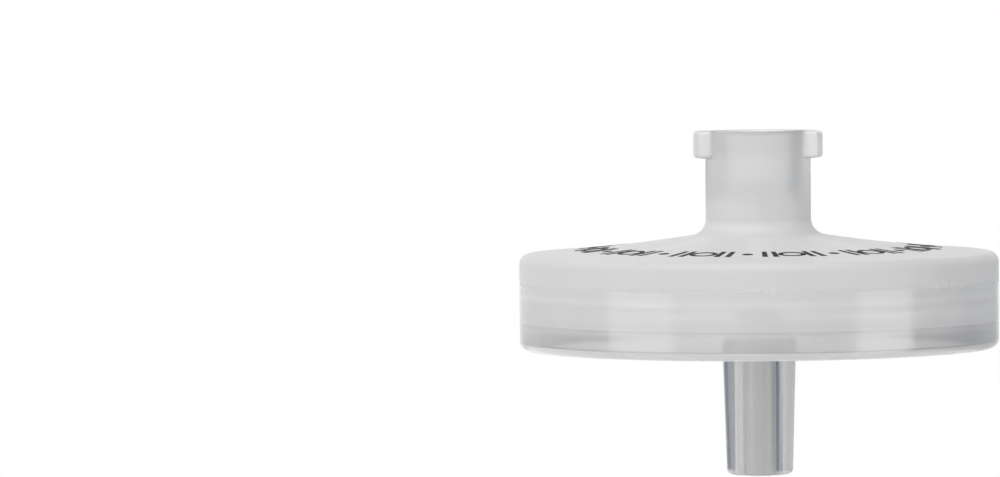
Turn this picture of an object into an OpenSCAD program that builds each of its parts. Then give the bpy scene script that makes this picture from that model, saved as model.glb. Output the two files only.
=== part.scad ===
// Syringe filter: a flat PTFE membrane sealed between two welded polypropylene half shells.
// Liquid enters the luer lock socket at the top, spreads through a star of channels over the
// membrane, and leaves through the male luer below.
// +Z points up, out of the socket. The origin is the centre of the socket's mouth.
// All lengths are in millimetres, and all angles in degrees.

/* [Housing] */
// Outside diameter of the welded housing
disc_d = 28.7; // [28.4:0.1:32]
// Height of the cover's rim, from its upper edge down to the weld seam
cover_rim_h = 1.7; // [1.5:0.1:3]
// Radius of the rounding along the cover's upper edge
cover_round = 0.6; // [0.2:0.1:1]
// Height of the lower shell, from the weld seam down to the foot of its skirt
cup_h = 4.05; // [3.5:0.05:6]
// Thickness of the lower shell's floor
floor_t = 1.7; // [1.2:0.1:2]
// Wall of the skirt around the hollow underside
skirt_t = 1.2; // [0.8:0.1:1.5]
// Radius of the rounding along the skirt's outer edge
skirt_round = 0.55; // [0.1:0.05:0.7]
// Depth of the chamfer that each shell carries at the weld seam
seam_chamfer = 0.08; // [0.04:0.01:0.2]

/* [Inlet] */
// Outside diameter of the hub
hub_d = 6.3; // [6:0.1:7]
// Length of the hub, from the socket's mouth down to the cover's surface
hub_len = 6.1; // [5.6:0.1:8]
// Radius of the blend between the hub and the cover
hub_blend = 1; // [0.4:0.1:1.6]
// Slope of the cover's surface where it leaves the hub
slope_at_hub = 9.5; // [5:0.5:14]
// Slope of the cover's surface where it reaches the rim
slope_at_rim = 3.3; // [1:0.1:4]
// Diameter of the socket at its mouth
socket_d = 4.3; // [4.27:0.01:4.32]
// Depth of the tapered socket
socket_depth = 7.8; // [7.5:0.1:8.2]
// Diameter of the channel that leads from the socket to the membrane
inlet_bore_d = 3.2; // [2:0.1:3.4]
// Distance across the two lugs
lug_span = 7.75; // [7.5:0.05:7.9]
// Width of each lug
lug_w = 3.2; // [2.6:0.1:4]
// Height of each lug, from the mouth down
lug_h = 1.6; // [1.2:0.1:2.2]
// Chamfer along the lugs' outer edges
lug_chamfer = 0.25; // [0.1:0.05:0.4]

/* [Outlet] */
// Length of the male luer below the skirt's foot
outlet_len = 7.55; // [7:0.05:9]
// Diameter of the male luer at its tip
outlet_tip_d = 3.95; // [3.93:0.01:3.99]
// Radius of the rounding at the tip
outlet_round = 0.35; // [0.1:0.05:0.5]
// Diameter of the bore through the outlet
outlet_bore_d = 2; // [1.2:0.1:2.4]
// Radius of the blend between the outlet and the floor
outlet_blend = 0.5; // [0.2:0.1:0.8]

/* [Membrane and flow channels] */
// Diameter of the membrane
membrane_d = 25; // [23:0.1:25.4]
// Thickness of the membrane
membrane_t = 0.2; // [0.1:0.05:0.3]
// Width of the ring that clamps the membrane's edge
clamp_w = 1.1; // [0.8:0.1:2]
// How far the cover's clamp ring reaches into the lower shell
clamp_h = 0.6; // [0.4:0.1:1]
// Radial gap between the clamp ring and the lower shell's wall
clamp_gap = 0.1; // [0.05:0.01:0.2]
// Radial gap around the membrane
membrane_gap = 0.15; // [0.1:0.05:0.3]
// Diameter of the pool above the membrane's middle
pool_d = 7.8; // [5:0.1:9]
// Number of channels in the star, on each side of the membrane
star_count = 8; // [4:1:12]
// Width of each channel of the star
star_w = 1.2; // [0.8:0.1:1.6]
// Depth of the star's channels and of the pool
star_depth = 0.6; // [0.4:0.1:0.8]
// Distance between neighbouring ring grooves
ring_pitch = 0.65; // [0.6:0.05:1.2]
// Width of each ring groove
ring_w = 0.33; // [0.2:0.01:0.4]
// Depth of each ring groove
ring_depth = 0.3; // [0.2:0.05:0.4]

/* [Gate mark] */
// Diameter of the shallow mark that the moulding gate leaves on the cover
gate_d = 1.8; // [1:0.1:2]
// Depth of that mark
gate_depth = 0.1; // [0.05:0.05:0.2]

/* [Hidden] */
// Loss of diameter for each millimetre of length on both luer cones
LUER_TAPER = 0.06;
// Lead-in chamfer at the socket's mouth
LEAD_IN = 0.2;
// How far a cutting solid runs past the surface that it cuts
CUT = 0.5;

disc_r = disc_d / 2;
hub_r = hub_d / 2;
cup_r = membrane_d / 2 + membrane_gap;
clamp_r = cup_r - clamp_gap;
flow_r = membrane_d / 2 - clamp_w;
skirt_r = disc_r - skirt_t;

// The cover's surface is one shallow hollow arc from the hub out to the rim.
rim_r = disc_r - cover_round;
sweep_r = (rim_r - hub_r) / (sin(slope_at_hub) - sin(slope_at_rim));
sweep_drop = sweep_r * (cos(slope_at_rim) - cos(slope_at_hub));

// Heights below the socket's mouth
hub_z = -hub_len;
rim_z = hub_z - sweep_drop;
seam_z = rim_z - cover_rim_h;
clamp_z = seam_z - clamp_h;
seat_z = clamp_z - membrane_t;
floor_z = seat_z - floor_t;
foot_z = seam_z - cup_h;
tip_z = foot_z - outlet_len;

outlet_tip_r = outlet_tip_d / 2;
outlet_floor_r = outlet_tip_r + (floor_z - tip_z) * LUER_TAPER / 2;
gate_r = (clamp_r + flow_r) / 2;

shell_colour = [0.86, 0.87, 0.88];
clear_colour = [0.78, 0.81, 0.83];
membrane_colour = [0.97, 0.97, 0.96];

$fn = 96;

// Points along an arc about [x, z], from angle a0 to angle a1
function arc(x, z, r, a0, a1, steps = 8) =
    [for (i = [0:steps]) let (a = a0 + (a1 - a0) * i / steps) [x + r * cos(a), z + r * sin(a)]];

// Height of the cover's hollow surface at a radius
function sweep_height(r) =
    hub_z + sweep_r * cos(slope_at_hub)
    - sqrt(pow(sweep_r, 2) - pow(hub_r + sweep_r * sin(slope_at_hub) - r, 2));

// Outline of the hub and the cover: out over the hub, the blend and the hollow sweep to the
// rounded rim, down to the seam, in to the clamp ring and across it to the axis
function cover_outline() =
    let (
        // centre of the sweep's arc, which lies above the cover
        sweep_x = hub_r + sweep_r * sin(slope_at_hub),
        sweep_z = hub_z + sweep_r * cos(slope_at_hub),
        // centre of the blend, tangent to the hub and to the sweep from outside
        blend_x = hub_r + hub_blend,
        blend_z = sweep_z - sqrt(pow(sweep_r - hub_blend, 2) - pow(sweep_x - blend_x, 2)),
        blend_end = 270 - asin((sweep_x - blend_x) / (sweep_r - hub_blend)),
        round_h = min(cover_round, cover_rim_h / 2)
    )
    concat(
        [[0, 0], [hub_r, 0]],
        arc(blend_x, blend_z, hub_blend, 180, blend_end),
        arc(sweep_x, sweep_z, sweep_r, blend_end, 270 - slope_at_rim, 10),
        arc(rim_r, rim_z - round_h, round_h, 90 - slope_at_rim, 0),
        [
            [disc_r, seam_z + seam_chamfer],
            [disc_r - seam_chamfer, seam_z],
            [clamp_r, seam_z],
            [clamp_r, clamp_z],
            [0, clamp_z],
        ]
    );

// Outline of the lower shell and its male luer, from the cup's rim round to the tip
function cup_outline() =
    concat(
        [
            [0, seat_z],
            [cup_r, seat_z],
            [cup_r, seam_z],
            [disc_r - seam_chamfer, seam_z],
            [disc_r, seam_z - seam_chamfer],
        ],
        arc(disc_r - skirt_round, foot_z + skirt_round, skirt_round, 0, -90),
        [[skirt_r, foot_z], [skirt_r, floor_z]],
        arc(outlet_floor_r + outlet_blend, floor_z - outlet_blend, outlet_blend, 90, 180),
        arc(outlet_tip_r - outlet_round, tip_z + outlet_round, outlet_round, 0, -90),
        [[0, tip_z]]
    );

// Two lugs that stand out of the hub, flush with the socket's mouth
module lugs() {
    intersection() {
        rotate_extrude()
            polygon([
                [hub_r - CUT, 0],
                [lug_span / 2 - lug_chamfer, 0],
                [lug_span / 2, -lug_chamfer],
                [lug_span / 2, -lug_h + lug_chamfer],
                [lug_span / 2 - lug_chamfer, -lug_h],
                [hub_r - CUT, -lug_h],
            ]);
        translate([-lug_span, -lug_w / 2, -lug_h - CUT])
            cube([2 * lug_span, lug_w, lug_h + 2 * CUT]);
    }
}

// Luer socket with its lead-in, and the channel below it
module inlet_passage() {
    socket_end_d = socket_d - socket_depth * LUER_TAPER;
    translate([0, 0, -socket_depth])
        cylinder(d1 = socket_end_d, d2 = socket_d, h = socket_depth);
    translate([0, 0, -LEAD_IN])
        cylinder(d1 = socket_d, d2 = socket_d + 2 * LEAD_IN, h = LEAD_IN);
    cylinder(d = socket_d + 2 * LEAD_IN, h = CUT);
    translate([0, 0, clamp_z - CUT])
        cylinder(d = inlet_bore_d, h = -clamp_z);
}

// Star of channels with fine ring grooves between them, standing on z = 0
module flow_pattern(inner_r) {
    first_ring = inner_r + ring_pitch;
    for (i = [0:star_count - 1])
        rotate([0, 0, i * 360 / star_count])
            translate([0, -star_w / 2, 0])
                cube([flow_r, star_w, star_depth]);
    for (r = [first_ring:ring_pitch:flow_r])
        rotate_extrude()
            translate([r - ring_w, 0])
                square([ring_w, ring_depth]);
}

// Upper half shell: socket, lugs, hub, cover, clamp ring and the inlet side's flow channels
module inlet_housing() {
    color(shell_colour)
        difference() {
            union() {
                rotate_extrude()
                    polygon(cover_outline());
                lugs();
            }
            inlet_passage();
            translate([0, 0, clamp_z - CUT])
                cylinder(d = pool_d, h = star_depth + CUT);
            translate([0, 0, clamp_z])
                flow_pattern(pool_d / 2);
            // the gate's mark lies over the clamp ring, where the cover is flat enough
            translate([0, gate_r, sweep_height(gate_r) - gate_depth])
                cylinder(d = gate_d, h = gate_depth + CUT);
        }
}

// Filter disc between the two shells
module membrane() {
    color(membrane_colour)
        translate([0, 0, seat_z])
            cylinder(d = membrane_d, h = membrane_t);
}

// Lower half shell: cup wall, membrane seat with its drain channels, skirt and male luer
module outlet_housing() {
    color(clear_colour)
        difference() {
            rotate_extrude()
                polygon(cup_outline());
            translate([0, 0, tip_z - CUT])
                cylinder(d = outlet_bore_d, h = seat_z - tip_z + 2 * CUT);
            translate([0, 0, seat_z])
                mirror([0, 0, 1])
                    flow_pattern(outlet_bore_d / 2);
        }
}

inlet_housing();
membrane();
outlet_housing();
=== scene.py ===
import math

import bpy
import numpy as np
from mathutils import Matrix, Vector


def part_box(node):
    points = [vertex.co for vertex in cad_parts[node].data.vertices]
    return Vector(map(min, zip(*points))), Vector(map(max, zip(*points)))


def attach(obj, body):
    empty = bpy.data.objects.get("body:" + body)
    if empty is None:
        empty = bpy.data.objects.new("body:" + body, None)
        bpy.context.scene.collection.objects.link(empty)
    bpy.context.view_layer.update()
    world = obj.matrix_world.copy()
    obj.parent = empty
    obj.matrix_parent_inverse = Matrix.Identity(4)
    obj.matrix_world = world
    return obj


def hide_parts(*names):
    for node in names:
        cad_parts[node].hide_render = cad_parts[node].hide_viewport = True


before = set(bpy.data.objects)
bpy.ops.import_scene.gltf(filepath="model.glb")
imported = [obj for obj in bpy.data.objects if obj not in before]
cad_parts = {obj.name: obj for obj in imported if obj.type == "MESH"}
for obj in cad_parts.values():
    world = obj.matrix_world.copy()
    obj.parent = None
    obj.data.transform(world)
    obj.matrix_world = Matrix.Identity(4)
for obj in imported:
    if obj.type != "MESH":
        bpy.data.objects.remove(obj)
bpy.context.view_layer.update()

MM = 0.001

# ---------------------------------------------------------------- sizes, in metres
# Places that the frame gives
inlet_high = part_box("inlet_housing")[1]
outlet_low, outlet_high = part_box("outlet_housing")
membrane_low, membrane_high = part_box("membrane")
DISC_R = inlet_high.y
SEAM_Z = outlet_high.z
CLAMP_Z = membrane_high.z
SEAT_Z = membrane_low.z
TIP_Z = outlet_low.z

# Inlet housing
HUB_R = 3.15 * MM
HUB_Z = -6.1 * MM
HUB_BLEND = 1.0 * MM
SLOPE_AT_HUB = math.radians(9.5)
SLOPE_AT_RIM = math.radians(3.3)
RIM_ROUND = 0.6 * MM
SEAM_CHAMFER = 0.08 * MM
MOUTH_R = 2.35 * MM
SOCKET_R = 2.15 * MM
LEAD_IN = 0.2 * MM
SOCKET_DEPTH = 7.8 * MM
LUER_SLOPE = 0.03
INLET_BORE_R = 1.6 * MM
LUG_R = 3.875 * MM
LUG_HALF_W = 1.6 * MM
LUG_H = 1.6 * MM
LUG_ROUND = 0.22 * MM
LUG_CORNER = 0.35 * MM
LUG_FILLET = 0.25 * MM
CLAMP_R = 12.55 * MM
GATE_R = 0.9 * MM
GATE_PLACE = 11.975 * MM
GATE_DEPTH = 0.1 * MM
GATE_EDGE = 0.12 * MM

# Outlet housing
CUP_R = 12.65 * MM
SKIRT_R = 13.15 * MM
FOOT_Z = SEAM_Z - 4.05 * MM
FLOOR_Z = SEAT_Z - 1.7 * MM
SKIRT_ROUND = 0.55 * MM
FOOT_ROUND = 0.12 * MM
FLOOR_ROUND = 0.15 * MM
TIP_R = 1.975 * MM
TIP_ROUND = 0.35 * MM
OUTLET_BLEND = 0.5 * MM
OUTLET_BORE_R = 1.0 * MM
BORE_ROUND = 0.06 * MM

# Flow channels on both sides of the membrane
FLOW_R = 11.4 * MM
POOL_R = 3.9 * MM
STAR_COUNT = 8
STAR_HALF_W = 0.6 * MM
STAR_DEPTH = 0.6 * MM
RING_PITCH = 0.65 * MM
RING_W = 0.33 * MM
RING_DEPTH = 0.3 * MM

# Printed border on the cover
PRINT_R = 9.98 * MM
PRINT_STATIONS = 48
PRINT_STROKE = 0.15 * MM
PRINT_DEPTH = 0.012 * MM
BAR_HALF_H = 1.05 * MM
PAIR_GAP = 0.3 * MM
CIRCLE_R = 0.68 * MM
DOT_R = 0.32 * MM
# Share of its radius that a dot's stroke reaches, so that the stroke's ends keep a width
DOT_REACH = 0.96

# Weld flash: the bead's middle radius, then its half height and half depth in millimetres, each
# with what the fast noise and a burst add to it
FLASH_R = DISC_R - 0.055 * MM
FLASH_HALF_H = (0.085, 0.012, 0.11)
FLASH_HALF_DEPTH = (0.05, 0.004, 0.03)
# How far the slow noise moves the bead up and down, and how far a burst lifts it
FLASH_SWAY = 0.01 * MM
FLASH_LIFT = 0.05 * MM
# Powers that make the bead's section a squarer oval, outwards and upwards
FLASH_OUT_POWER = 0.35
FLASH_UP_POWER = 0.6
# Waves round the rim in both noises, and their seeds. The slow one isn't a chance pick: of 20,000
# seeds it best makes the flash stand out in four chosen stretches of the front.
FAST_WAVES = np.arange(60, 220, 7)
SLOW_WAVES = np.arange(3, 17, 2)
FAST_SEED = 3
SLOW_SEED = 19739
# A burst begins where the slow noise passes the first, and the second holds the fast noise up
BURST_FROM = 0.25
BURST_BASE = 0.6

# ---------------------------------------------------------------- how finely the meshes are cut
# A hair of air between faces that touch, so that light crosses each of them once
AIR = 0.012 * MM
# Width of a steep wall in the flow pattern
WALL = 0.008 * MM
# Short step beside an edge, which keeps the smooth shading close to it, and the longest step
EDGE_STEP = 0.05 * MM
LONGEST_STEP = 0.6 * MM
# Plain ring between the flow pattern and the face's next row
FLOW_MARGIN = 0.2 * MM
# How far short of the mouth's edge the last row of the lead-in lies
LEAD_IN_END = 0.01 * MM
# How far below the lugs the last row of the mouth and the first row of the hub lie
MOUTH_END = 0.03 * MM
HUB_START = 0.06 * MM
# How near the hub's own radius a row round the mouth still counts as hub, and not as lug
HUB_REACH = 0.02 * MM
# An edge is sharp where its faces turn by more than this
SHARP_FROM = math.radians(30)

COLUMNS_IN_CHANNEL = 9
COLUMNS_PER_SECTOR = 36
COLUMNS = STAR_COUNT * COLUMNS_PER_SECTOR
# Gap between the two columns at a channel's wall: a share of the channel, up to so many radians
HAIR = 0.02
WIDEST_HAIR = 0.002
# Largest share of a sector that a channel fills near the middle
FULLEST = 0.985

BLEND_STEPS = 14
SWEEP_STEPS = 36
RIM_STEPS = 12
LUG_ROUND_STEPS = 6
CORNER_STEPS = 10
BAR_POINTS = 9
CIRCLE_POINTS = 32
DOT_POINTS = 13
FLASH_STEPS = 1440
FLASH_SIDES = 12


# ---------------------------------------------------------------- outlines
def arc(centre_r, centre_z, radius, start, end, steps):
    """Points centre + radius (cos a, sin a) for even angles from start to end, in degrees."""
    a = np.radians(np.linspace(start, end, steps + 1))
    return np.column_stack([centre_r + radius * np.cos(a), centre_z + radius * np.sin(a)])


def rounded(corners, steps):
    """Outline through corners (r, z, round): each corner becomes an arc tangent to its two sides.

    The arc's centre lies on the corner's bisector, at round / sin(half the angle) from it, and
    its ends lie at round / tan(half the angle) along the sides. An end corner stays sharp.
    """
    p = np.array([c[:2] for c in corners], dtype=float)
    out = [p[:1]]
    for i in range(1, len(corners) - 1):
        radius = corners[i][2]
        if radius == 0:
            out.append(p[i : i + 1])
            continue
        back = p[i - 1] - p[i]
        ahead = p[i + 1] - p[i]
        back = back / np.linalg.norm(back)
        ahead = ahead / np.linalg.norm(ahead)
        half = math.acos(float(np.clip(back @ ahead, -1, 1))) / 2
        reach = radius / math.tan(half)
        centre = p[i] + (back + ahead) / np.linalg.norm(back + ahead) * radius / math.sin(half)
        first = p[i] + back * reach - centre
        last = p[i] + ahead * reach - centre
        a0 = math.atan2(first[1], first[0])
        turn = math.atan2(first[0] * last[1] - first[1] * last[0], float(first @ last))
        a = a0 + turn * np.linspace(0, 1, steps + 1)
        out.append(centre + radius * np.column_stack([np.cos(a), np.sin(a)]))
    out.append(p[-1:])
    return np.vstack(out)


def divided(points):
    """The same outline, with its long sides cut into even steps and a short step at each end."""
    points = np.array(points, dtype=float)
    out = []
    for a, b in zip(points[:-1], points[1:]):
        length = float(np.linalg.norm(b - a))
        if length <= 3 * EDGE_STEP:
            t = np.array([0.0])
        else:
            steps = max(1, math.ceil((length - 2 * EDGE_STEP) / LONGEST_STEP))
            inner = np.linspace(EDGE_STEP, length - EDGE_STEP, steps + 1) / length
            t = np.concatenate([[0.0], inner])
        out.append(a + (b - a) * t[:, None])
    out.append(points[-1:])
    return np.vstack(out)


def full_turn(count):
    """So many even angles over a full turn, without the last one, which is the first again."""
    return np.linspace(0, 2 * math.pi, count + 1)[:-1]


# ---------------------------------------------------------------- rows of a turned shell
def column_angles(channel_half):
    """Angles of the columns round the axis, for a star channel that is channel_half wide each way.

    In each sector the first columns run evenly across the channel and the rest across the land
    between two channels. The two columns on either side of a channel's wall lie a hair apart.
    """
    sector = 2 * math.pi / STAR_COUNT
    start = channel_half + min(channel_half * HAIR, WIDEST_HAIR)
    channel = channel_half * np.linspace(-1, 1, COLUMNS_IN_CHANNEL)
    land = np.linspace(0, 1, COLUMNS_PER_SECTOR - COLUMNS_IN_CHANNEL)
    one_sector = np.concatenate([channel, start + (sector - 2 * start) * land])
    return (one_sector[None, :] + sector * np.arange(STAR_COUNT)[:, None]).ravel()


def even_angles():
    """Evenly spaced angles that keep the columns' order, for rows outside the flow pattern."""
    step = 2 * math.pi / COLUMNS
    first = -step * (COLUMNS_IN_CHANNEL - 1) / 2
    return first + step * np.arange(COLUMNS)


EVEN = even_angles()
IN_CHANNEL = (np.arange(COLUMNS) % COLUMNS_PER_SECTOR) < COLUMNS_IN_CHANNEL


def turned_rows(outline):
    """Rows of points (r cos a, r sin a, z), where each outline point is turned round the axis."""
    r = outline[:, 0][:, None]
    z = outline[:, 1][:, None]
    x = r * np.cos(EVEN)[None, :]
    y = r * np.sin(EVEN)[None, :]
    return np.stack([x, y, np.broadcast_to(z, x.shape)], axis=2)


def ring_row(radius, z):
    """One row of points at a radius for each column and one height."""
    return np.column_stack([radius * np.cos(EVEN), radius * np.sin(EVEN), np.full(COLUMNS, z)])


def flow_radii(inner_r):
    """Radii of the flow pattern's rows from its rim inwards, and whether a row lies in a groove."""
    # The 1e-9 keeps a last groove that ends right at the pattern's rim
    count = int((FLOW_R - inner_r - RING_PITCH + 1e-9) / RING_PITCH) + 1
    outer = inner_r + RING_PITCH * np.arange(count, 0, -1)
    steps = np.array([WALL / 2, -WALL / 2, -RING_W + WALL / 2, -RING_W - WALL / 2])
    radii = (outer[:, None] + steps[None, :]).ravel()
    groove = np.tile([False, True, True, False], count)
    keep = radii < FLOW_R - WALL
    return radii[keep], groove[keep]


def flow_rows(face_z, up, inner_r):
    """Rows of the star of channels with its ring grooves, from the rim in to inner_r.

    A channel's half angle at radius r is asin(half width / r). Where the channels meet near the
    middle, all columns lie at the channel's depth. The depth is the deeper of star and groove.
    """
    radii, groove = flow_radii(inner_r)
    radii = np.concatenate([[FLOW_R + WALL, FLOW_R], radii, [inner_r + WALL]])
    groove = np.concatenate([[False, False], groove, [False]])
    meet = STAR_HALF_W / math.sin(math.pi / STAR_COUNT)
    widest = math.pi / STAR_COUNT * FULLEST
    rows = []
    for i, r in enumerate(radii):
        half = min(math.asin(min(STAR_HALF_W / r, 1)), widest)
        a = column_angles(half)
        star = np.where(IN_CHANNEL | (r < meet), STAR_DEPTH, 0) * (i > 0)
        depth = np.maximum(star, RING_DEPTH * groove[i])
        rows.append(np.column_stack([r * np.cos(a), r * np.sin(a), face_z + up * depth]))
    return np.array(rows)


# ---------------------------------------------------------------- meshes
def wrapped_quads(rows, columns, closed=True):
    """Corner numbers of the squares of a grid.

    Its last column joins its first, and if it is closed, its last row joins its first row as well.
    """
    i = np.arange(rows if closed else rows - 1)[:, None]
    j = np.arange(columns)[None, :]
    i2 = (i + 1) % rows
    j2 = (j + 1) % columns
    corners = [i * columns + j, i * columns + j2, i2 * columns + j2, i2 * columns + j]
    return np.stack(corners, axis=2).reshape(-1, 4)


def outward(points, quads):
    """Turns the faces outwards, where the volume summed over their tetrahedra is positive."""
    a, b, c, d = (points[quads[:, k]] for k in range(4))
    volume = np.sum(a * (np.cross(b, c) + np.cross(c, d))) / 6
    return points, (quads if volume > 0 else quads[:, ::-1])


def mesh_object(name, points, faces):
    """Smooth shaded object at the origin, from points and faces that all have as many sides."""
    mesh = bpy.data.meshes.new(name)
    sides = faces.shape[1]
    mesh.vertices.add(len(points))
    mesh.vertices.foreach_set("co", np.ascontiguousarray(points, dtype=np.float32).ravel())
    mesh.loops.add(faces.size)
    mesh.loops.foreach_set("vertex_index", np.ascontiguousarray(faces, dtype=np.int32).ravel())
    mesh.polygons.add(len(faces))
    mesh.polygons.foreach_set("loop_start", np.arange(0, faces.size, sides, dtype=np.int32))
    mesh.update(calc_edges=True)
    mesh.validate()
    mesh.shade_smooth()
    mesh.set_sharp_from_angle(angle=SHARP_FROM)
    thing = bpy.data.objects.new(name, mesh)
    bpy.context.scene.collection.objects.link(thing)
    return thing


def grid_mesh(name, rows):
    """Closed mesh over a grid of points that wraps both ways, with its faces turned outwards."""
    return mesh_object(name, *outward(rows.reshape(-1, 3), wrapped_quads(*rows.shape[:2])))


# ---------------------------------------------------------------- inlet housing
def sweep_circle():
    """Centre and radius of the cover's hollow arc from the hub's slope to the rim's slope."""
    rim_r = DISC_R - RIM_ROUND
    radius = (rim_r - HUB_R) / (math.sin(SLOPE_AT_HUB) - math.sin(SLOPE_AT_RIM))
    centre_r = HUB_R + radius * math.sin(SLOPE_AT_HUB)
    centre_z = HUB_Z + radius * math.cos(SLOPE_AT_HUB)
    return centre_r, centre_z, radius


def cover_height(r):
    """Height of the cover's top at radius r: the lower half of the sweep's circle."""
    centre_r, centre_z, radius = sweep_circle()
    return centre_z - np.sqrt(radius**2 - (centre_r - r) ** 2)


def cover_outline():
    """Outline from the hub down its blend, out along the sweep, and round the rim to the seam.

    The blend's circle touches the hub, and the sweep's circle from outside. So its centre lies its
    own radius out from the hub, and the difference of the two radii away from the sweep's centre.
    """
    centre_r, centre_z, radius = sweep_circle()
    blend_r = HUB_R + HUB_BLEND
    apart = radius - HUB_BLEND
    blend_z = centre_z - math.sqrt(apart**2 - (centre_r - blend_r) ** 2)
    blend_end = 270 - math.degrees(math.asin((centre_r - blend_r) / apart))
    rim_slope = math.degrees(SLOPE_AT_RIM)
    rim_r = DISC_R - RIM_ROUND
    rim_z = float(cover_height(rim_r)) - RIM_ROUND
    hub_side = [[HUB_R, -LUG_H - HUB_START]]
    blend = arc(blend_r, blend_z, HUB_BLEND, 180, blend_end, BLEND_STEPS)
    sweep = arc(centre_r, centre_z, radius, blend_end, 270 - rim_slope, SWEEP_STEPS)
    rim = arc(rim_r, rim_z, RIM_ROUND, 90 - rim_slope, 0, RIM_STEPS)
    lower = [[DISC_R, SEAM_Z + SEAM_CHAMFER], [DISC_R - SEAM_CHAMFER, SEAM_Z + AIR]]
    return divided(np.vstack([hub_side, blend, sweep[1:], rim, lower]))


def soft_min(a, b, width):
    """The lower of a and b, with the corner between them rounded over width."""
    h = np.clip(0.5 + 0.5 * (b - a) / width, 0, 1)
    return b + (a - b) * h - width * h * (1 - h)


def mouth_outline(inset):
    """Radius of the hub and its two lugs at each column, with the lugs drawn in by inset.

    A lug's side is the plane |y| = half width, which is half width / |sin a| in polar form, and
    its end is a circle. Hub and lug are joined by a small fillet, a rounded maximum.
    """
    # The 1e-6 stands in for sin a = 0, where the side is endlessly far away
    side = (LUG_HALF_W - inset) / np.maximum(np.abs(np.sin(EVEN)), 1e-6)
    lug = soft_min(side, LUG_R - inset, LUG_CORNER)
    return -soft_min(-lug, -np.full_like(lug, HUB_R), LUG_FILLET)


def mouth_rows():
    """Rows from the socket's mouth over the end face, down the lugs' sides and in to the hub.

    A lug's upper and lower edges are quarter circles, drawn in by round (1 - sin a) at a height of
    round (1 - cos a) from its face. Between the lugs the hub's top edge is drawn in half as far.
    """
    a = np.linspace(0, math.pi / 2, LUG_ROUND_STEPS + 1)
    inset = LUG_ROUND * (1 - np.sin(a))
    drop = LUG_ROUND * (1 - np.cos(a))
    heights = np.concatenate([-drop, -LUG_H + drop[::-1]])
    insets = np.concatenate([inset, inset[::-1]])
    rows = [
        ring_row(np.full(COLUMNS, MOUTH_R), 0),
        ring_row(np.full(COLUMNS, MOUTH_R + EDGE_STEP), 0),
        ring_row(mouth_outline(LUG_ROUND) - EDGE_STEP, 0),
    ]
    for z, back in zip(heights, insets):
        outline = np.minimum(mouth_outline(back), mouth_outline(0))
        hub_back = back * 0.5 if z > -LUG_ROUND else 0
        rows.append(ring_row(outline - hub_back * (outline < HUB_R + HUB_REACH), z))
    foot_r = mouth_outline(LUG_ROUND) * 0.5 + HUB_R * 0.5
    rows.append(ring_row(foot_r, -LUG_H - MOUTH_END))
    return np.array(rows)


def press_gate_mark(rows):
    """Sinks the shallow round mark into the cover, with an edge that eases as 3t^2 - 2t^3."""
    d = np.hypot(rows[:, :, 0], rows[:, :, 1] - GATE_PLACE)
    t = np.clip((GATE_R + GATE_EDGE / 2 - d) / GATE_EDGE, 0, 1)
    rows[:, :, 2] -= GATE_DEPTH * t * t * (3 - 2 * t)
    return rows


def inlet_rows():
    """All rows of the inlet housing's closed section, from the socket's mouth round to itself."""
    face_z = CLAMP_Z + AIR
    pool_z = face_z + STAR_DEPTH
    clamp = [
        [CLAMP_R, SEAM_Z + AIR],
        [CLAMP_R, face_z],
        [FLOW_R + FLOW_MARGIN, face_z],
    ]
    passage = [
        [POOL_R - WALL, pool_z],
        [INLET_BORE_R, pool_z],
        [INLET_BORE_R, -SOCKET_DEPTH],
        [SOCKET_R - SOCKET_DEPTH * LUER_SLOPE, -SOCKET_DEPTH],
        [SOCKET_R - LEAD_IN * LUER_SLOPE, -LEAD_IN],
        [MOUTH_R - LEAD_IN_END, -LEAD_IN_END],
    ]
    parts = [
        mouth_rows(),
        press_gate_mark(turned_rows(cover_outline())),
        turned_rows(divided(clamp)),
        flow_rows(face_z, 1, POOL_R),
        turned_rows(divided(passage)),
    ]
    return np.concatenate(parts)


# ---------------------------------------------------------------- outlet housing
def outlet_rows():
    """All rows of the outlet housing's closed section, from the cup's rim round to itself."""
    face_z = SEAT_Z - AIR
    rim_z = SEAM_Z - AIR
    root_r = TIP_R + (FLOOR_Z - TIP_Z) * LUER_SLOPE
    outside = [
        (CUP_R, rim_z, 0),
        (DISC_R - SEAM_CHAMFER, rim_z, 0),
        (DISC_R, SEAM_Z - SEAM_CHAMFER, 0),
        (DISC_R, FOOT_Z, SKIRT_ROUND),
        (SKIRT_R, FOOT_Z, FOOT_ROUND),
        (SKIRT_R, FLOOR_Z, FLOOR_ROUND),
        (root_r, FLOOR_Z, OUTLET_BLEND),
        (TIP_R, TIP_Z, TIP_ROUND),
        (OUTLET_BORE_R, TIP_Z, BORE_ROUND),
        (OUTLET_BORE_R, face_z - STAR_DEPTH, 0),
    ]
    seat = [
        [FLOW_R + FLOW_MARGIN, face_z],
        [CUP_R, face_z],
        [CUP_R, rim_z - EDGE_STEP],
    ]
    parts = [
        turned_rows(divided(rounded(outside, CORNER_STEPS))),
        flow_rows(face_z, -1, OUTLET_BORE_R)[::-1],
        turned_rows(divided(seat)),
    ]
    return np.concatenate(parts)


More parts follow.
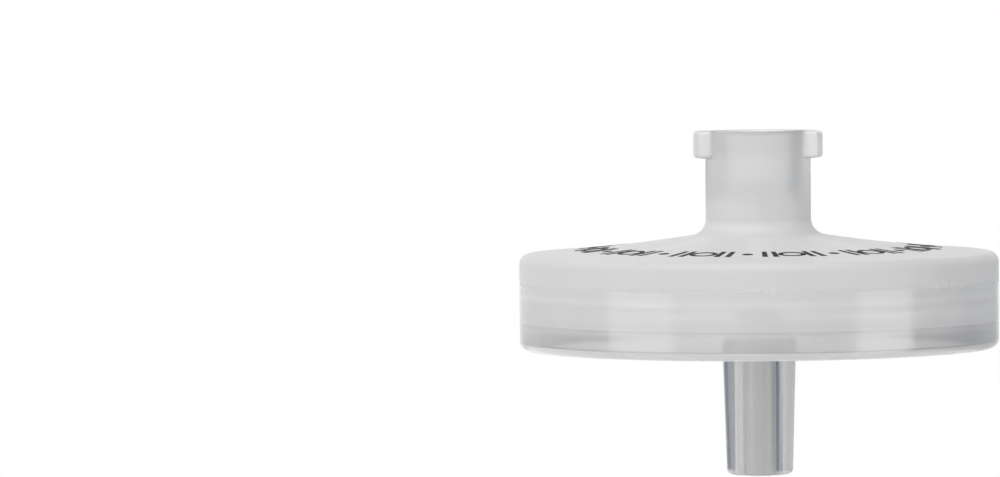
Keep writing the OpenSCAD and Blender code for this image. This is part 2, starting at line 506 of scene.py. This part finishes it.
# ---------------------------------------------------------------- printed border
def ink_stroke(angle, along, across, half, closed=False):
    """Points and faces of one stroke of ink on the cover, round a station at an angle.

    along runs outwards from the print's middle radius and across runs round the axis, each a row
    of distances along the stroke's middle line. half is half the stroke's width, laid off at right
    angles to that line. The stroke follows the cover's height and is PRINT_DEPTH thick each way.
    """
    if closed:
        step_s = np.roll(along, -1) - np.roll(along, 1)
        step_t = np.roll(across, -1) - np.roll(across, 1)
    else:
        step_s = np.gradient(along)
        step_t = np.gradient(across)
    length = np.hypot(step_s, step_t)
    side_s = -step_t / length * half
    side_t = step_s / length * half
    edges = []
    for side, lift in ((-1, -1), (1, -1), (1, 1), (-1, 1)):
        r = PRINT_R + along + side * side_s
        a = angle + (across + side * side_t) / PRINT_R
        z = cover_height(r) + lift * PRINT_DEPTH
        edges.append(np.column_stack([r * np.cos(a), r * np.sin(a), z]))
    points = np.stack(edges, axis=1).reshape(-1, 3)
    quads = wrapped_quads(len(along), len(edges), closed)
    if not closed:
        last = len(points) - len(edges)
        quads = np.vstack([quads, [3, 2, 1, 0], [last, last + 1, last + 2, last + 3]])
    return outward(points, quads)


def print_ring():
    """Printed border: pairs of radial bars, with an open circle and a dot by turns between them.

    A dot is one short stroke. At a distance s from its middle, its half width is half the circle's
    chord there, sqrt(radius^2 - s^2).
    """
    bar = np.linspace(-BAR_HALF_H, BAR_HALF_H, BAR_POINTS)
    dot = np.linspace(-DOT_REACH, DOT_REACH, DOT_POINTS) * DOT_R
    turn = full_turn(CIRCLE_POINTS)
    strokes = []
    for station in range(PRINT_STATIONS):
        angle = 2 * math.pi * (station + 0.5) / PRINT_STATIONS
        if station % 2 == 0:
            for shift in (-PAIR_GAP, PAIR_GAP):
                strokes.append(ink_stroke(angle, bar, np.full(BAR_POINTS, shift), PRINT_STROKE))
        elif station % 4 == 1:
            s = CIRCLE_R * np.cos(turn)
            t = CIRCLE_R * np.sin(turn)
            strokes.append(ink_stroke(angle, s, t, PRINT_STROKE, closed=True))
        else:
            half = np.sqrt(DOT_R**2 - dot**2)
            strokes.append(ink_stroke(angle, dot, np.zeros(DOT_POINTS), half))
    starts = np.cumsum([0] + [len(points) for points, _ in strokes[:-1]])
    all_points = np.vstack([points for points, _ in strokes])
    all_quads = np.vstack([quads + start for start, (_, quads) in zip(starts, strokes)])
    return mesh_object("print_ring", all_points, all_quads)


# ---------------------------------------------------------------- weld flash
def ripple(angles, waves, seed):
    """Smooth noise round the rim, about -1 to 1: a sum of cosines with random phases."""
    random = np.random.default_rng(seed)
    phase = random.uniform(0, 2 * math.pi, len(waves))
    weight = random.uniform(0.5, 1, len(waves))
    total = np.sum(weight[:, None] * np.cos(waves[:, None] * angles + phase[:, None]), axis=0)
    return total / np.sqrt(np.sum(weight**2) / 2) / 2


def squared(values, power):
    """Cosines or sines brought nearer to 1 and -1 by a power below 1, each with its own sign."""
    return np.sign(values) * np.abs(values) ** power


def weld_flash():
    """Thin bead of flash along the seam, with an oval section that swells and thins with noise.

    A burst is the slow noise above BURST_FROM, times BURST_BASE plus the fast noise, so that the
    bead stands out in a few places only.
    """
    a = full_turn(FLASH_STEPS)
    fast = ripple(a, FAST_WAVES, FAST_SEED)
    slow = ripple(a, SLOW_WAVES, SLOW_SEED)
    burst = np.clip(slow - BURST_FROM, 0, 1) * np.clip(BURST_BASE + fast, 0, 2)
    tall, deep = (
        (rest + by_noise * fast + by_burst * burst) * MM
        for rest, by_noise, by_burst in (FLASH_HALF_H, FLASH_HALF_DEPTH)
    )
    middle = SEAM_Z + FLASH_SWAY * slow + FLASH_LIFT * burst
    turn = full_turn(FLASH_SIDES)
    out = squared(np.cos(turn), FLASH_OUT_POWER)
    up = squared(np.sin(turn), FLASH_UP_POWER)
    r = FLASH_R + deep[:, None] * out[None, :]
    z = middle[:, None] + tall[:, None] * up[None, :]
    rows = np.stack([r * np.cos(a)[:, None], r * np.sin(a)[:, None], z], axis=2)
    return grid_mesh("weld_flash", rows)


# ---------------------------------------------------------------- nodes of a material
def grey(value):
    """A colour without a hue."""
    return (value, value, value)


def feed(tree, socket, value):
    """Links a socket to another node's output, or sets it to a number or to a colour.

    A number for a colour socket is a grey.
    """
    if isinstance(value, bpy.types.NodeSocket):
        tree.links.new(value, socket)
    elif socket.type == "RGBA":
        socket.default_value = (*(value if isinstance(value, tuple) else grey(value)), 1)
    else:
        socket.default_value = value


def new_material(name, **values):
    """A material with one Principled shader, and its socket values by plain names."""
    material = bpy.data.materials.new(name)
    material.use_nodes = True
    tree = material.node_tree
    shader = tree.nodes["Principled BSDF"]
    for socket, value in values.items():
        feed(tree, shader.inputs[socket.replace("_", " ")], value)
    return material, tree, shader


def math_node(tree, operation, *values):
    """The result of a Math node on numbers or sockets."""
    node = tree.nodes.new("ShaderNodeMath")
    node.operation = operation
    for socket, value in zip(node.inputs, values):
        feed(tree, socket, value)
    return node.outputs[0]


def mixed(tree, blend_type, factor, first, second):
    """Two colours mixed by a factor, each of them a number, a colour or a socket."""
    node = tree.nodes.new("ShaderNodeMix")
    node.data_type = "RGBA"
    node.blend_type = blend_type
    # A Mix node has its colours at inputs 6 and 7, and the mixed colour at output 2
    for number, value in ((0, factor), (6, first), (7, second)):
        feed(tree, node.inputs[number], value)
    return node.outputs[2]


def ranged(tree, source, low, high, from_low=0.3, from_high=0.7, interpolation="LINEAR"):
    """A value that goes from low to high while its source goes from from_low to from_high."""
    node = tree.nodes.new("ShaderNodeMapRange")
    node.interpolation_type = interpolation
    node.inputs["From Min"].default_value = from_low
    node.inputs["From Max"].default_value = from_high
    node.inputs["To Min"].default_value = low
    node.inputs["To Max"].default_value = high
    tree.links.new(source, node.inputs["Value"])
    return node.outputs["Result"]


def eased(tree, source, from_low, from_high, most=1.0):
    """A value that eases from 0 to most, as 3t^2 - 2t^3, while its source crosses a range."""
    return ranged(tree, source, 0, most, from_low, from_high, "SMOOTHSTEP")


def colour_ramp(tree, part, stops):
    """The colour that runs straight from stop to stop (part, colour), as part goes from 0 to 1."""
    ramp = tree.nodes.new("ShaderNodeValToRGB")
    tree.links.new(part, ramp.inputs["Fac"])
    elements = ramp.color_ramp.elements
    while len(elements) < len(stops):
        elements.new(1.0)
    for element, (position, colour) in zip(elements, stops):
        element.position = position
        element.color = (*colour, 1)
    return ramp.outputs["Color"]


def split_place(tree, kind):
    """The x, y and z of a place, in Object or in Generated coordinates."""
    place = tree.nodes.new("ShaderNodeTexCoord")
    split = tree.nodes.new("ShaderNodeSeparateXYZ")
    tree.links.new(place.outputs[kind], split.inputs[0])
    return split.outputs["X"], split.outputs["Y"], split.outputs["Z"]


def object_noise(tree, scale, detail=4.0, distortion=0.0):
    """Noise on the object's own coordinates, with its scale in waves per metre."""
    place = tree.nodes.new("ShaderNodeTexCoord")
    noise = tree.nodes.new("ShaderNodeTexNoise")
    noise.inputs["Scale"].default_value = scale
    noise.inputs["Detail"].default_value = detail
    noise.inputs["Distortion"].default_value = distortion
    tree.links.new(place.outputs["Object"], noise.inputs["Vector"])
    return noise.outputs["Fac"]


def bumped(tree, shader, source, height):
    """Bump of the given height in metres under the shader's gloss."""
    node = tree.nodes.new("ShaderNodeBump")
    node.inputs["Distance"].default_value = height
    node.inputs["Strength"].default_value = 1
    tree.links.new(source, node.inputs["Height"])
    tree.links.new(node.outputs["Normal"], shader.inputs["Normal"])


def by_height(tree, stops):
    """A grey that runs straight from stop to stop (height, grey), from the top stop down.

    A plain number instead of the stops is the same grey all over.
    """
    if isinstance(stops, float):
        return stops
    z = split_place(tree, "Object")[2]
    top, bottom = stops[0][0], stops[-1][0]
    part = ranged(tree, z, 0, 1, bottom, top)
    upwards = [((height - bottom) / (top - bottom), grey(v)) for height, v in reversed(stops)]
    return colour_ramp(tree, part, upwards)


def clouded(tree, colour, scale, depth):
    """The colour times soft clouds between 1 - depth and 1."""
    cloud = ranged(tree, object_noise(tree, scale), 1 - depth, 1)
    return mixed(tree, "MULTIPLY", 1, colour, cloud)


# ---------------------------------------------------------------- polypropylene
POLYPROPYLENE_IOR = 1.49
SHEEN_ROUGHNESS = 0.4
CLOUD_SCALE = 260
CLOUD_DEPTH = 0.03
MOULD_RIPPLE_SCALE = 500
MOULD_RIPPLE_DETAIL = 2.0
MOULD_RIPPLE_H = 0.002 * MM

# How far the ring grooves ripple the colour with painted light and shade, and how much painted
# light makes the star look lighter, as if the channels below showed through the plastic
RING_PAINTED_RIPPLE = 0.025
STAR_PAINTED_LIGHT = 0.05
# Over what distance the star's edge, and the pattern's inner and outer ends, fade
STAR_FADE = 0.15 * MM
INNER_FADE = 0.4 * MM
OUTER_FADE = 0.2 * MM

# Greys by height, and the share of light that goes straight in, from the socket's mouth down
INLET_GREYS = [
    (-1.0 * MM, 0.84),
    (-1.9 * MM, 0.91),
    (-3.3 * MM, 0.91),
    (-4.5 * MM, 0.83),
    (HUB_Z, 0.58),
]
INLET_CLEAR = [(-3.3 * MM, 0.9), (HUB_Z + 0.5 * MM, 0.22)]
WALL_GREYS = [
    (SEAM_Z, 0.63),
    (CLAMP_Z + 0.15 * MM, 0.62),
    (CLAMP_Z, 0.65),
    (SEAT_Z, 0.65),
    (SEAT_Z - 0.25 * MM, 0.6),
    (FLOOR_Z, 0.58),
]
SKIRT_GREYS = [(FLOOR_Z, 0.71), (FLOOR_Z - 0.4 * MM, 0.63), (FOOT_Z, 0.58)]
SKIRT_CLEAR = [(FLOOR_Z, 0.52), (FLOOR_Z - 0.25 * MM, 0.6), (FOOT_Z, 0.62)]
OUTLET_GREYS = [(FLOOR_Z, 0.62), (FOOT_Z + 0.9 * MM, 0.85), (FOOT_Z, 0.69)]
OUTLET_CLEAR = [(FLOOR_Z, 0.3), (FOOT_Z + 0.3 * MM, 0.7), (FOOT_Z, 0.94)]


def painted_channel_light(tree, colour, inner_r):
    """The colour with the flow channels below painted on as light and shade, from inner_r outwards.

    A point at radius r and angle a lies r |sin 4a| / 4 from the middle of the nearest of the eight
    channels, and the land begins half a channel's width from it. The star gets painted light, a
    little lighter than the land, and on the land the ring grooves ripple the colour with painted
    light and shade as a cosine of r.
    """

    def calc(operation, *values):
        return math_node(tree, operation, *values)

    x, y = split_place(tree, "Object")[:2]
    r = calc("SQRT", calc("ADD", calc("MULTIPLY", x, x), calc("MULTIPLY", y, y)))
    swing = calc("SINE", calc("MULTIPLY", calc("ARCTAN2", y, x), STAR_COUNT / 2))
    away = calc("MULTIPLY", calc("ABSOLUTE", swing), calc("DIVIDE", r, STAR_COUNT / 2))
    land = eased(tree, away, STAR_HALF_W - STAR_FADE, STAR_HALF_W + STAR_FADE)
    past_first = calc("SUBTRACT", r, inner_r - RING_W / 2)
    wave = calc("COSINE", calc("MULTIPLY", past_first, 2 * math.pi / RING_PITCH))
    # Painted light and shade over the ring grooves, and painted light over the star
    grooves = calc("MULTIPLY", calc("MULTIPLY", wave, land), RING_PAINTED_RIPPLE)
    star = calc("MULTIPLY", calc("SUBTRACT", 1.0, land), STAR_PAINTED_LIGHT)
    from_inside = eased(tree, r, inner_r, inner_r + INNER_FADE)
    from_outside = eased(tree, calc("SUBTRACT", FLOW_R, r), 0, OUTER_FADE)
    within = calc("MULTIPLY", from_inside, from_outside)
    painted_change = calc("MULTIPLY", calc("ADD", grooves, star), within)
    return mixed(tree, "MULTIPLY", 1, colour, calc("ADD", painted_change, 1.0))


def polypropylene(name, greys, clear, roughness, gloss=0.5, sheen=0.0, painted_channels_from=0.0):
    """Natural polypropylene, faintly clouded, with the soft ripples of its mould.

    greys and clear, the share of light that goes straight in, are numbers, or stops by height.
    The last argument is the radius from which the flow channels below are painted on as light and
    shade, if they are.
    """
    material, tree, shader = new_material(
        name,
        IOR=POLYPROPYLENE_IOR,
        Roughness=roughness,
        Specular_IOR_Level=gloss,
        Sheen_Weight=sheen,
        Sheen_Roughness=SHEEN_ROUGHNESS,
    )
    tint = by_height(tree, greys)
    # Painted light and shade of the flow channels below, laid on the colour
    if painted_channels_from:
        tint = painted_channel_light(tree, tint, painted_channels_from)
    feed(tree, shader.inputs["Base Color"], clouded(tree, tint, CLOUD_SCALE, CLOUD_DEPTH))
    feed(tree, shader.inputs["Transmission Weight"], by_height(tree, clear))
    ripples = object_noise(tree, MOULD_RIPPLE_SCALE, MOULD_RIPPLE_DETAIL)
    bumped(tree, shader, ripples, MOULD_RIPPLE_H)
    return material


# ---------------------------------------------------------------- ink and membrane
INK_THICK = (0.01, 0.01, 0.012)
INK_THIN = (0.05, 0.05, 0.053)
MEMBRANE_WHITE = (0.88, 0.88, 0.87)


def black_ink():
    """Dull black printing ink, with thin spots where it dried unevenly."""
    material, tree, shader = new_material("black_ink", Roughness=0.6, Specular_IOR_Level=0.1)
    spots = object_noise(tree, scale=2500)
    thin = ranged(tree, spots, 0, 1, from_low=0.5, from_high=0.75)
    feed(tree, shader.inputs["Base Color"], mixed(tree, "MIX", thin, INK_THICK, INK_THIN))
    bumped(tree, shader, spots, height=0.003 * MM)
    return material


def white_ptfe():
    """Chalk white PTFE film, felted from fine fibres that run every way."""
    material, tree, shader = new_material("white_ptfe", Roughness=0.7)
    fibres = object_noise(tree, scale=9000, detail=6.0, distortion=2.0)
    chalk = clouded(tree, MEMBRANE_WHITE, scale=900, depth=0.06)
    feed(tree, shader.inputs["Base Color"], chalk)
    bumped(tree, shader, fibres, height=0.01 * MM)
    return material


# ---------------------------------------------------------------- build
# Borders between the finishes of one shell. The gap keeps a border clear of an edge's own faces.
ZONE_GAP = 0.02 * MM
LUGS_FROM_R = HUB_R + 0.12 * MM
SKIRT_FROM_R = SKIRT_R - 0.2 * MM
FOOT_TOP_Z = FOOT_Z + 0.45 * MM
OUTLET_TO_R = 4 * MM


def inlet_zones(r, z):
    """0 for the socket, hub and cover, 1 for the two lugs, which are thick and milky."""
    return ((r > LUGS_FROM_R) & (z > -LUG_H - ZONE_GAP)).astype(int)


def outlet_zones(r, z):
    """0 for the thick wall and floor, 1 for the thin skirt, 2 for its foot, 3 for the outlet."""
    zone = np.zeros(len(r), dtype=int)
    zone[(r > SKIRT_FROM_R) & (z < FLOOR_Z + ZONE_GAP)] = 1
    zone[(r > SKIRT_FROM_R) & (z < FOOT_TOP_Z)] = 2
    zone[(r < OUTLET_TO_R) & (z < FLOOR_Z - ZONE_GAP)] = 3
    return zone


def paint_faces(thing, materials, choose):
    """Gives each face the material whose number choose(radius, height) returns for its middle."""
    mesh = thing.data
    mesh.materials.clear()
    for material in materials:
        mesh.materials.append(material)
    centres = np.empty(3 * len(mesh.polygons), dtype=np.float32)
    mesh.polygons.foreach_get("center", centres)
    centres = centres.reshape(-1, 3)
    number = choose(np.hypot(centres[:, 0], centres[:, 1]), centres[:, 2])
    mesh.polygons.foreach_set("material_index", number.astype(np.int32))
    mesh.update()


def dress(thing, slot, *nodes):
    """Gives a piece the body it rides on, and hides the node that it stands for. Its slot is not
    used.
    """
    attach(thing, "root")
    if nodes:
        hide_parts(*nodes)


def build_inlet():
    """Upper shell: satin plastic, clear in the thin hub and milkier in the cover and the lugs."""
    satin = {"roughness": 0.42, "gloss": 0.25, "sheen": 0.15}
    # The cover gets the painted light and shade of the flow channels below it
    shell = polypropylene(
        "inlet_polypropylene", INLET_GREYS, INLET_CLEAR, painted_channels_from=POOL_R, **satin
    )
    lugs = polypropylene("lug_polypropylene", greys=0.82, clear=0.65, **satin)
    inlet = grid_mesh("inlet_shell", inlet_rows())
    paint_faces(inlet, [shell, lugs], inlet_zones)
    dress(inlet, "natural_pp", "inlet_housing")


def build_outlet():
    """Lower shell: glossier plastic, clearer in the skirt and clearest at the outlet."""
    # The wall and floor get the painted light and shade of the outlet housing's flow channels
    wall = polypropylene(
        "wall_polypropylene", WALL_GREYS, clear=0.3, roughness=0.12, painted_channels_from=OUTLET_BORE_R
    )
    skirt = polypropylene(
        "skirt_polypropylene", SKIRT_GREYS, SKIRT_CLEAR, roughness=0.08, gloss=1.0
    )
    foot = polypropylene("foot_polypropylene", greys=0.62, clear=0.38, roughness=0.12)
    spout = polypropylene(
        "outlet_polypropylene", OUTLET_GREYS, OUTLET_CLEAR, roughness=0.08, gloss=0.3
    )
    outlet = grid_mesh("outlet_shell", outlet_rows())
    paint_faces(outlet, [wall, skirt, foot, spout], outlet_zones)
    dress(outlet, "clear_pp", "outlet_housing")


def build_trim():
    """The printed border on the cover, and the flash along the weld."""
    border = print_ring()
    border.data.materials.append(black_ink())
    dress(border, "print_ink")
    weld = weld_flash()
    weld.data.materials.append(
        polypropylene("weld_polypropylene", greys=0.58, clear=0.2, roughness=0.3, gloss=0.25)
    )
    dress(weld, "natural_pp")


def finish_membrane():
    """The membrane keeps its own solid and gets its finish."""
    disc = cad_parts["membrane"]
    disc.data.materials.clear()
    disc.data.materials.append(white_ptfe())


build_inlet()
build_outlet()
build_trim()
finish_membrane()


# ---------------------------------------------------------------- camera
AIM = Vector((0, 0, -10.4 * MM))
DISTANCE = 400 * MM
ELEVATION = math.radians(2.85)
TURN_LEFT = math.radians(2.224)
TURN_UP = math.radians(0.564)
ROLL = math.radians(-0.37)
# Lens and sensor in millimetres, and the nearest and farthest distance seen in metres
LENS = 240.05
SENSOR = 36
NEAREST = 0.01
FARTHEST = 20


def make_camera():
    """Camera in front of the filter and a little above it, turned aside, up and round its axis."""
    data = bpy.data.cameras.new("camera")
    data.lens = LENS
    data.sensor_width = SENSOR
    data.clip_start = NEAREST
    data.clip_end = FARTHEST
    camera = bpy.data.objects.new("camera", data)
    bpy.context.scene.collection.objects.link(camera)
    back = Vector((0, -math.cos(ELEVATION), math.sin(ELEVATION)))
    look = (-back).to_track_quat("-Z", "Y").to_matrix()
    turned = Matrix.Rotation(ROLL, 3, "Z") @ Matrix.Rotation(TURN_LEFT, 3, "Y")
    turned = turned @ Matrix.Rotation(TURN_UP, 3, "X")
    camera.matrix_world = Matrix.Translation(AIM + back * DISTANCE) @ (look @ turned).to_4x4()
    bpy.context.scene.camera = camera


make_camera()


# ---------------------------------------------------------------- floor
FLOOR_RADIUS = 120 * MM
FLOOR_SHIFT = 60 * MM
FLOOR_DROP = 25 * MM
FLOOR_SIDES = 96
FLOOR_GREY = 0.9
FLOOR_GLOW = 0.3


def make_floor():
    """Round pale floor below the hanging filter, set off to the left.

    The camera, gloss and clear plastic see it brightened to white, and its added glow doesn't
    light the filter.
    """
    a = full_turn(FLOOR_SIDES)
    x = FLOOR_RADIUS * np.cos(a) - FLOOR_SHIFT
    y = FLOOR_RADIUS * np.sin(a)
    points = np.column_stack([x, y, np.full(FLOOR_SIDES, TIP_Z - FLOOR_DROP)])
    floor = mesh_object("floor", points, np.arange(FLOOR_SIDES)[None, :])
    material, tree, shader = new_material(
        "pale_floor", Base_Color=FLOOR_GREY, Roughness=0.9, Emission_Color=1.0
    )
    ray = tree.nodes.new("ShaderNodeLightPath").outputs
    seen = math_node(tree, "MAXIMUM", ray["Is Camera Ray"], ray["Is Glossy Ray"])
    seen = math_node(tree, "MAXIMUM", seen, ray["Is Transmission Ray"])
    glow = math_node(tree, "MULTIPLY", seen, FLOOR_GLOW)
    feed(tree, shader.inputs["Emission Strength"], glow)
    floor.data.materials.append(material)


make_floor()


# ---------------------------------------------------------------- light
# What the studio shows at an angle round the filter, from the camera's side (0) to the right (+)
STUDIO_RING = [
    (-180, grey(0.9)),
    (-170, grey(0.95)),
    (-150, grey(0.8)),
    (-131, grey(0.74)),
    (-125, (0.7, 0.71, 0.73)),
    (-78, (0.74, 0.75, 0.77)),
    (-75, grey(2.4)),
    (-44, grey(2.4)),
    (-40, grey(1.25)),
    (-10, grey(1.25)),
    (30, grey(0.6)),
    (46, grey(0.75)),
    (50, grey(2.6)),
    (77, grey(2.6)),
    (80, (0.04, 0.06, 0.13)),
    (124, (0.02, 0.05, 0.13)),
    (130, (0.34, 0.37, 0.43)),
    (141, (0.45, 0.47, 0.5)),
    (155, (0.52, 0.53, 0.55)),
    (170, grey(0.88)),
    (180, grey(0.9)),
]
# Brightest stop of the ring. A ramp holds colours up to 1, so all are worked out as shares of it.
RING_PEAK = 2.6
# Grey of the room above the screens, and the sines of the elevations between which it fades in
ROOM = 0.65
ROOM_FADE = (0.04, 0.12)
# Grey of the ceiling, how much darker it gets to the right, and where it fades in
CEILING = 0.8
CEILING_TILT = 0.5
CEILING_FADE = (0.35, 0.8)


def studio_colour(tree):
    """The studio's colour in the direction of a ray, as a share of RING_PEAK.

    The place on the ring of soft lights and low dark screens is the ray's angle atan2(x, -y), as a
    part of a full turn. Above the screens the lighter of ring and room shows, then the ceiling.
    """
    x, y, z = split_place(tree, "Generated")
    turn = math_node(tree, "ARCTAN2", x, math_node(tree, "MULTIPLY", y, -1.0))
    part = math_node(tree, "MULTIPLY_ADD", turn, 1 / (2 * math.pi), 0.5)
    stops = [
        ((azimuth + 180) / 360, tuple(c / RING_PEAK for c in colour))
        for azimuth, colour in STUDIO_RING
    ]
    ring = colour_ramp(tree, part, stops)
    room = mixed(tree, "LIGHTEN", 1, ring, eased(tree, z, *ROOM_FADE, most=ROOM / RING_PEAK))
    ceiling = math_node(
        tree, "MULTIPLY_ADD", x, -CEILING_TILT / RING_PEAK, CEILING / RING_PEAK
    )
    return mixed(tree, "MIX", eased(tree, z, *CEILING_FADE), room, ceiling)


def make_world():
    """White to the camera. Gloss, clear plastic and the light itself see the studio instead."""
    world = bpy.data.worlds.new("studio")
    bpy.context.scene.world = world
    world.use_nodes = True
    tree = world.node_tree
    tree.nodes.clear()
    studio = tree.nodes.new("ShaderNodeBackground")
    feed(tree, studio.inputs["Color"], studio_colour(tree))
    feed(tree, studio.inputs["Strength"], RING_PEAK)
    white = tree.nodes.new("ShaderNodeBackground")
    feed(tree, white.inputs["Color"], 1.0)
    ray = tree.nodes.new("ShaderNodeLightPath").outputs
    choice = tree.nodes.new("ShaderNodeMixShader")
    feed(tree, choice.inputs["Fac"], ray["Is Camera Ray"])
    feed(tree, choice.inputs[1], studio.outputs[0])
    feed(tree, choice.inputs[2], white.outputs[0])
    output = tree.nodes.new("ShaderNodeOutputWorld")
    feed(tree, output.inputs["Surface"], choice.outputs[0])


make_world()


def make_softbox(name, azimuth, elevation, distance, width, height, watts):
    """Rectangular lamp that faces the filter from an azimuth measured from the camera's side."""
    data = bpy.data.lights.new(name, "AREA")
    data.shape = "RECTANGLE"
    data.size = width
    data.size_y = height
    data.energy = watts
    lamp = bpy.data.objects.new(name, data)
    bpy.context.scene.collection.objects.link(lamp)
    a = math.radians(azimuth)
    e = math.radians(elevation)
    back = Vector((math.sin(a) * math.cos(e), -math.cos(a) * math.cos(e), math.sin(e)))
    lamp.location = AIM + back * distance
    lamp.rotation_euler = (-back).to_track_quat("-Z", "Y").to_euler()
    lamp.visible_camera = False


make_softbox(
    "top_softbox", azimuth=-20, elevation=70, distance=1.0, width=1.0, height=1.0, watts=6
)

bpy.context.scene.view_settings.view_transform = "Standard"
